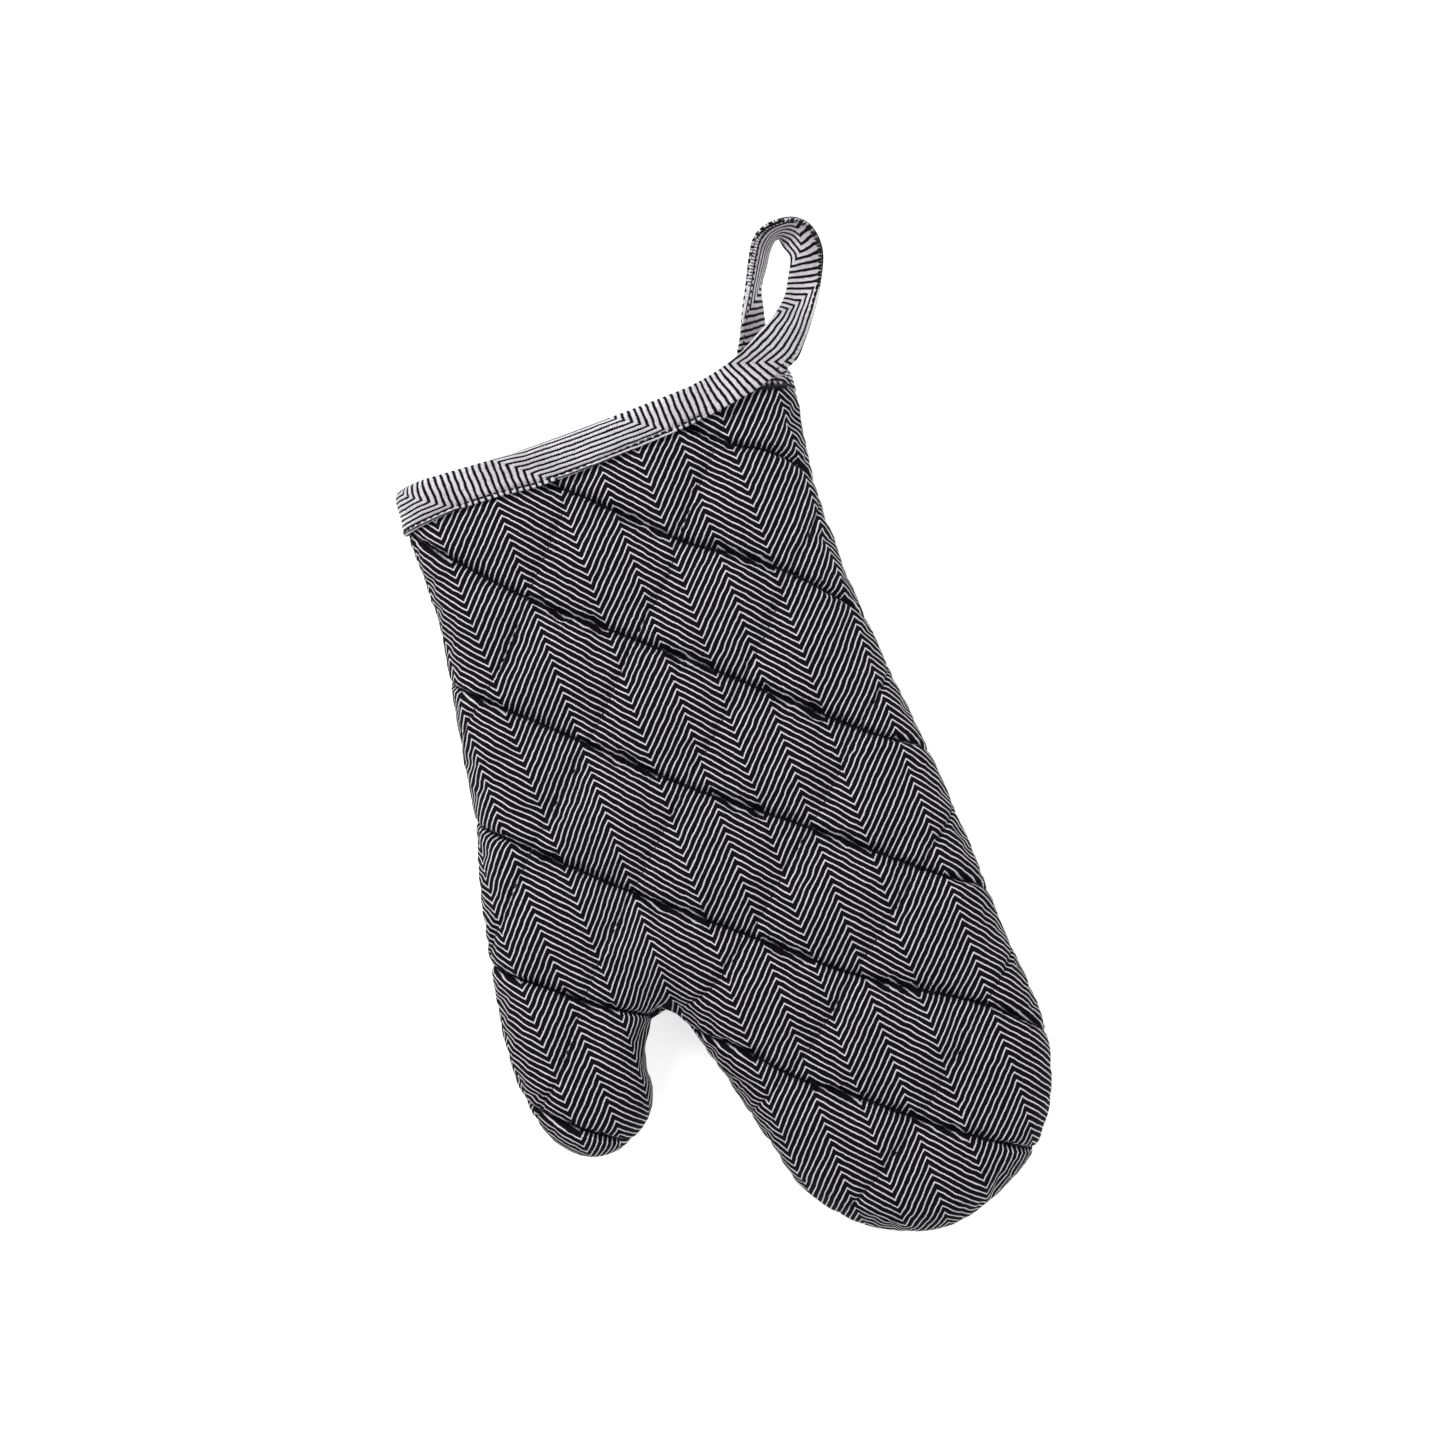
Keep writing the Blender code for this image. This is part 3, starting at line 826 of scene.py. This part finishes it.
def loop_frames():
    """The loop's stations: rails, normals, thickness and distance along."""
    route = spline(LOOP_ROUTE, 5)
    outer, inner, thick = route[:, :3], route[:, 3:6], route[:, 6]
    centre = (outer + inner) / 2
    normal = unit(np.cross(unit(np.gradient(centre, axis=0)), inner - outer))
    return outer, inner, normal, thick, LOOP_START + distances_along(centre)


def cup_at(s):
    """How deep the loop's tape cups at this distance along it."""
    depth, place, spread = LOOP_CUP
    return depth * math.exp(-((s - place) / spread) ** 2)


def add_loop(material):
    """The hanging loop: the tape folded double, sewn along its outer edge."""
    outer, inner, normal, thick, length = loop_frames()
    steps = 10
    turn = np.arange(2 * steps) * math.pi / steps
    share = (1 - np.cos(turn)) / 2
    bulge = np.sign(np.sin(turn)) * np.abs(np.sin(turn)) ** 0.55
    pinch = 1 - 0.45 * np.exp(-((share - STITCH_LINE) / 0.06) ** 2)
    rows = []
    for a, b, n, t, s in zip(outer, inner, normal, thick, length):
        wave = 0.25 * math.sin(s / 2.9) + 0.18 * math.sin(s / 1.7 + 1)
        body = t / 2 * bulge * pinch * (1 + 0.08 * wave) - cup_at(s) * np.sin(math.pi * share ** 0.6)
        rows.append(a + (b - a) * share[:, None] + n * body[:, None])
    across = np.concatenate([np.where(turn <= math.pi, share, 2 - share), [2.0]]) * TAPE_WIDTH
    cloth = np.array([tape_cloth(s, across) for s in length])
    return grid_object("loop_tape", np.array(rows), cloth, material, False, caps=True)


def add_loop_stitch(material):
    """Thread along the loop's outer edge, with whipped stitches over the edge at its top."""
    outer, inner, normal, thick, length = loop_frames()
    found = []
    at = np.arange(length[0] + 26, length[-1] - 17, 1.0)

    def sample(table, s):
        return np.array([np.interp(s, length, column) for column in table.T])

    for number, s in enumerate(at[:-1]):
        a, b, n = sample(outer, s), sample(inner, s), sample(normal, s)
        n = n / np.linalg.norm(n)
        t = np.interp(s, length, thick)
        across = b - a
        if number % 2 == 0:
            later = s + 1.5
            a2, b2, n2 = sample(outer, later), sample(inner, later), sample(normal, later)
            for face in (1, -1):
                lift = (t / 2 * 0.44 + 0.12) * face - cup_at(s) * math.sin(math.pi * STITCH_LINE ** 0.6)
                found.append((a + across * STITCH_LINE + n * lift,
                              a2 + (b2 - a2) * STITCH_LINE + n2 * lift, n * face))
        if length[0] + 58 < s < length[0] + 108:
            rim = -across / np.linalg.norm(across)
            top = a + across * 0.1 + n * t * 0.30
            over = a + rim * 0.05
            low = a + across * 0.1 - n * t * 0.30
            found.append((top, over, n + rim))
            found.append((over, low, rim - n))
    return add_stitches("loop_edge_stitch", found, THREAD * 1.25, material, lift=0.3)


def on_corner(place, reach, out):
    """(point, normal) at the cuff's right corner, standing out from its side."""
    angle = math.acos(min(1.0, max(0.0, (place[0] - CORE_RIGHT) / (TAPE_RADIUS + reach))))
    return (np.array([*place, MIDDLE + (TAPE_RADIUS + out) * math.sin(angle)]),
            np.array([math.cos(angle), 0, math.sin(angle)]))


def add_bartack(material):
    """A dense block of stitches that holds the loop's end to the cuff."""
    found = []
    start, end, half = np.array([56.8, 117.9]), np.array([71.0, 114.9]), 0.62
    rng = np.random.default_rng(5)
    along = (end - start) / np.linalg.norm(end - start)
    side = np.array([-along[1], along[0]])
    # the stitches crowd together at the left and spread out over the tape's end
    steps = [*np.arange(0, 11.4, 0.4), *np.arange(11.6, 14.5, 0.8)]
    for step in steps:
        place = start + along * step + side * rng.uniform(-0.25, 0.25)
        reach = half * rng.uniform(0.8, 1.3)
        (top, _), (low, normal) = (
            on_corner(place + side * offset + along * offset * 0.35, 0.35, 0.35)
            for offset in (reach, -reach))
        found.append((top, low, normal))
    for number in range(3):                      # a few long stitches laid under the block
        offset = side * (number - 1) * 0.4
        first, last = (on_corner(place + offset, 0.3, 0.2)[0] for place in (start, end))
        centre, normal = on_corner((start + end) / 2 + offset, 0.3, 0.3)
        found += [(first, centre, normal), (centre, last, normal)]
    return add_stitches("bartack_stitches", found, THREAD * 1.1, material, lift=0.25)


# ---- materials

class Nodes:
    """Short helpers for building a node tree."""

    def __init__(self, tree):
        self.tree = tree

    def new(self, kind, inputs=(), **settings):
        node = self.tree.nodes.new(kind)
        for name, value in settings.items():
            setattr(node, name, value)
        for socket, value in dict(inputs).items():
            if isinstance(value, bpy.types.NodeSocket):
                self.tree.links.new(value, node.inputs[socket])
            else:
                node.inputs[socket].default_value = value
        return node

    def math(self, operation, *values):
        return self.new("ShaderNodeMath", enumerate(values), operation=operation).outputs[0]

    def add(self, *values):
        return self.math("ADD", *values)

    def sub(self, *values):
        return self.math("SUBTRACT", *values)

    def mul(self, *values):
        return self.math("MULTIPLY", *values)

    def mul_add(self, *values):
        return self.math("MULTIPLY_ADD", *values)

    def wave(self, value, turn):
        return self.math("SINE", self.mul(value, turn))

    def blend(self, share, first, second):
        first, second = (value if isinstance(value, bpy.types.NodeSocket) else (*value, 1.0)
                         for value in (first, second))
        return self.new("ShaderNodeMix", {0: share, 6: first, 7: second}, data_type="RGBA",
                        clamp_factor=True).outputs[2]

    def noise(self, vector, scale, detail=2.0, output=0):
        node = self.new("ShaderNodeTexNoise", {"Vector": vector, "Scale": scale, "Detail": detail})
        return node.outputs[output]

    def remap(self, value, low, high, to_low=0.0, to_high=1.0):
        return self.new("ShaderNodeMapRange", {0: value, 1: low, 2: high, 3: to_low, 4: to_high},
                        interpolation_type="SMOOTHSTEP").outputs[0]


def start_material(name, roughness, sheen):
    material = bpy.data.materials.new(name)
    material.use_nodes = True
    nodes = Nodes(material.node_tree)
    shader = material.node_tree.nodes["Principled BSDF"]
    shader.inputs["Roughness"].default_value = roughness
    shader.inputs["Specular IOR Level"].default_value = 0.1
    shader.inputs["Sheen Weight"].default_value = sheen
    shader.inputs["Sheen Roughness"].default_value = 0.5
    uv = nodes.new("ShaderNodeUVMap", uv_map="cloth").outputs[0]
    return material, nodes, shader, uv


def finish_material(nodes, shader, color, roughness, height, distance):
    nodes.tree.links.new(color, shader.inputs["Base Color"])
    nodes.tree.links.new(roughness, shader.inputs["Roughness"])
    bump = nodes.new("ShaderNodeBump", {"Height": height, "Strength": 0.8,
                                        "Distance": distance * MM})
    nodes.tree.links.new(bump.outputs[0], shader.inputs["Normal"])


def herringbone(name, columns, colours, sheen, with_painted_groove_shade=False):
    """Striped herringbone twill: light and dark yarns that zigzag across columns."""
    ground, yarn, width = colours
    material, nodes, shader, uv = start_material(name, 0.85, sheen)
    wobble = nodes.noise(uv, 0.22, output="Color")
    centred = nodes.new("ShaderNodeVectorMath", {0: wobble, 1: (0.5, 0.5, 0.5)},
                        operation="SUBTRACT")
    shifted = nodes.new("ShaderNodeVectorMath", {0: centred.outputs[0], 1: (0.9, 0.9, 0.0), 2: uv},
                        operation="MULTIPLY_ADD").outputs[0]
    split = nodes.new("ShaderNodeSeparateXYZ", {0: shifted})
    u, v = split.outputs[0], split.outputs[1]
    zigzag = None
    for number, column in enumerate(columns):
        arm = nodes.math("ABSOLUTE", nodes.sub(u, column))
        if zigzag is None:
            zigzag = arm
        else:
            zigzag = nodes.math("SUBTRACT" if number % 2 else "ADD", zigzag, arm)
    # the weft steps over a few ends at a time, so each stripe is a row of small floats
    step = nodes.math("FRACT", nodes.mul(u, 1 / 0.52))
    saw = nodes.mul(nodes.sub(step, 0.5), 0.10)
    climb = nodes.sub(v, nodes.mul(zigzag, STRIPE_SLOPE))
    phase = nodes.add(nodes.math("DIVIDE", climb, STRIPE_STEP), saw)
    place = nodes.math("FRACT", phase)
    from_centre = nodes.math("ABSOLUTE", nodes.sub(place, 0.5))
    float_shape = nodes.wave(step, math.pi)
    fuzz = nodes.noise(uv, 2.3, 2.0)
    half = nodes.add(nodes.mul(float_shape, 0.035),
                     nodes.add(width / 2 - 0.055, nodes.mul(fuzz, 0.06)))
    light = nodes.remap(nodes.sub(from_centre, half), -0.035, 0.035, 1.0, 0.0)
    patch = nodes.noise(uv, 0.06, 3.0)
    grain = nodes.noise(uv, 1.3, 3.0)
    tone = nodes.remap(nodes.add(nodes.mul(patch, 0.5), nodes.mul(grain, 0.5)), 0.3, 0.7)
    darks = nodes.blend(tone, [c * 0.75 for c in ground], [c * 1.3 for c in ground])
    lights = nodes.blend(tone, [c * 0.86 for c in yarn], [min(1.0, c * 1.05) for c in yarn])
    shade = nodes.mul_add(float_shape, 0.18, 0.82)
    lights = nodes.blend(shade, [c * 0.55 for c in yarn], lights)
    color = nodes.blend(light, darks, lights)
    rib = nodes.wave(phase, 6 * math.pi)
    if not with_painted_groove_shade:                                # fine ribs darken the tape's light ground
        fine = nodes.mul(nodes.remap(rib, -1, 1), nodes.mul_add(step, 0.20, 0.04))
        color = nodes.blend(fine, color, (0.0, 0.0, 0.0))
    if with_painted_groove_shade:                                    # painted shade: the cloth in the quilting grooves is darkened to near black in place of their shadow
        seam = nodes.new("ShaderNodeAttribute", attribute_name="seam").outputs["Fac"]
        ragged = nodes.mul(seam, nodes.mul_add(grain, 0.9, 0.5))
        color = nodes.blend(nodes.remap(ragged, 0.25, 0.9), color, [c * 0.35 for c in ground])
    roughness = nodes.remap(grain, 0.2, 0.8, 0.72, 0.95)
    # warp ribs in the ground and rounded floats in the stripes
    body = nodes.mul(light, nodes.mul_add(float_shape, 0.5, 0.5))
    height = nodes.add(nodes.mul_add(rib, 0.10, body), nodes.mul(grain, 0.25))
    finish_material(nodes, shader, color, roughness, height, 0.22)
    return material


def lining_material():
    """Plain black cotton: warp and weft over and under each other."""
    material, nodes, shader, uv = start_material("lining_fabric", 0.9, 0.08)
    split = nodes.new("ShaderNodeSeparateXYZ", {0: uv})
    turn = 2 * math.pi / 0.9
    warp = nodes.wave(split.outputs[0], turn)
    weft = nodes.wave(split.outputs[1], turn)
    weave = nodes.mul(warp, weft)
    grain = nodes.noise(uv, 0.35, 4.0)
    tone = nodes.add(nodes.mul(weave, 0.25), grain)
    color = nodes.blend(nodes.remap(tone, 0.2, 0.8), (0.006, 0.006, 0.008), (0.022, 0.021, 0.026))
    finish_material(nodes, shader, color, nodes.remap(grain, 0.2, 0.8, 0.8, 0.98), weave, 0.12)
    return material


def wadding_material():
    """Needled cotton wadding: matted fibres with soft lumps."""
    material, nodes, shader, uv = start_material("wadding_fill", 0.95, 0.3)
    lumps = nodes.noise(uv, 0.12, 4.0)
    fibres = nodes.new("ShaderNodeTexNoise", {"Vector": uv, "Scale": 1.1, "Detail": 6.0,
                                              "Distortion": 2.5}).outputs[0]
    color = nodes.blend(nodes.remap(fibres, 0.3, 0.7), (0.62, 0.60, 0.54), (0.82, 0.80, 0.75))
    height = nodes.add(lumps, nodes.mul(fibres, 0.6))
    finish_material(nodes, shader, color, nodes.remap(fibres, 0.2, 0.8, 0.88, 1.0), height, 0.6)
    return material


def thread_material():
    """Black spun thread with a visible twist."""
    material, nodes, shader, uv = start_material("sewing_thread", 0.6, 0.1)
    split = nodes.new("ShaderNodeSeparateXYZ", {0: uv})
    turns = nodes.add(nodes.mul(split.outputs[1], 1.6), split.outputs[0])
    twist = nodes.wave(turns, 2 * math.pi)
    grain = nodes.noise(uv, 3.0, 2.0)
    color = nodes.blend(nodes.remap(twist, -1, 1), (0.003, 0.003, 0.004), (0.014, 0.013, 0.017))
    finish_material(nodes, shader, color, nodes.remap(grain, 0.2, 0.8, 0.5, 0.75), twist, 0.08)
    return material


def floor_material():
    material = bpy.data.materials.new("studio_floor")
    material.use_nodes = True
    nodes = Nodes(material.node_tree)
    shader = material.node_tree.nodes["Principled BSDF"]
    shader.inputs["Roughness"].default_value = 0.9
    shader.inputs["Emission Color"].default_value = (1, 1, 1, 1)
    shader.inputs["Emission Strength"].default_value = FLOOR_GLOW
    coords = nodes.new("ShaderNodeTexCoord").outputs["Object"]
    mottle = nodes.noise(coords, 4.0, 3.0)
    nodes.tree.links.new(nodes.blend(mottle, (0.88, 0.88, 0.88), (0.92, 0.92, 0.92)),
                         shader.inputs["Base Color"])
    return material


# ---- bodies

def follow(obj, part):
    """Bakes a wall piece's placement into its mesh, the same for the hand and the thumb."""
    if part == "hand":
        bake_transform(obj)
    else:
        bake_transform(obj)


def area_of(obj):
    """Area of one side of a closed cloth piece, in square metres."""
    return sum(p.area for p in obj.data.polygons) / 2


def flat_size(obj):
    """Width and length of the flat cloth a piece was cut from, in metres."""
    uv = np.zeros(len(obj.data.loops) * 2, np.float32)
    obj.data.uv_layers["cloth"].data.foreach_get("uv", uv)
    width, length = np.ptp(uv.reshape(-1, 2), axis=0) * MM
    return float(width), float(length)


def build():
    materials = {
        "outer_fabric": herringbone("outer_fabric", MAIN_COLUMNS, MAIN_COLOURS, 0.0, with_painted_groove_shade=True),
        "tape_fabric": herringbone("tape_fabric", [tape_column(s) for s in TAPE_COLUMNS],
                                   TAPE_COLOURS, 0.02),
        "lining_fabric": lining_material(),
        "wadding_fill": wadding_material(),
        "sewing_thread": thread_material(),
    }
    thread = materials["sewing_thread"]
    faces = [Face(True), Face(False)]
    for face in faces:
        for layer, side, part, obj in add_walls(face, materials):
            regions = ("palm", "fingers") if part == "hand" else ("thumb",)
            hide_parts(*(f"{layer}_{side}_{region}" for region in regions))
            follow(obj, part)
            if layer == "wadding":
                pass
            else:
                width, length = flat_size(obj)
                area = min(area_of(obj), width * length)
        for part, obj in add_quilting(face, thread):
            follow(obj, part)

    binding, flat = add_binding(materials["tape_fabric"])
    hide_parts("cuff_binding")
    topstitch = add_topstitch(thread)
    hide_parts("binding_topstitch")
    bartack = add_bartack(thread)
    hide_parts("loop_bartack")
    for obj in (binding, topstitch, bartack):
        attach(obj, "palm")

    loop = add_loop(materials["tape_fabric"])
    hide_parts("hanging_loop")
    edge_stitch = add_loop_stitch(thread)
    for obj in (loop, edge_stitch):
        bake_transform(obj)


# ---- studio

def add_light(name, place, size, power, target=(0, 0, 0.01)):
    """A round soft light turned to the mitt."""
    light = bpy.data.lights.new(name, "AREA")
    light.shape = "DISK"
    light.size = size
    light.energy = power
    obj = put(name, light)
    obj.location = place
    obj.rotation_euler = (Vector(target) - Vector(place)).to_track_quat("-Z", "Y").to_euler()


def add_studio():
    low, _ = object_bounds()
    reach = FLOOR_REACH
    mesh = bpy.data.meshes.new("floor")
    mesh.from_pydata([(-reach, -reach, 0), (reach, -reach, 0), (reach, reach, 0),
                      (-reach, reach, 0)], [], [(0, 1, 2, 3)])
    mesh.materials.append(floor_material())
    floor = put("floor", mesh)
    floor.location.z = min(0.0, low.z) - 0.0002

    world = bpy.data.worlds.new("studio")
    world.use_nodes = True
    background = world.node_tree.nodes["Background"]
    background.inputs[0].default_value = (1, 1, 1, 1)
    background.inputs[1].default_value = WORLD_LIGHT
    bpy.context.scene.world = world
    add_light("key", *KEY_LIGHT)
    add_light("fill", *FILL_LIGHT)

    camera = bpy.data.cameras.new("camera")
    camera.lens = CAMERA_LENS
    camera.clip_start, camera.clip_end = 0.01, 50
    eye = put("camera", camera)
    eye.location = (VIEW_CENTRE[0] * MM, VIEW_CENTRE[1] * MM, MIDDLE * MM + CAMERA_HEIGHT)
    eye.rotation_euler = (0, 0, math.radians(-CAMERA_ROLL))
    bpy.context.scene.camera = eye
    bpy.context.scene.view_settings.view_transform = "Standard"


build()
add_studio()
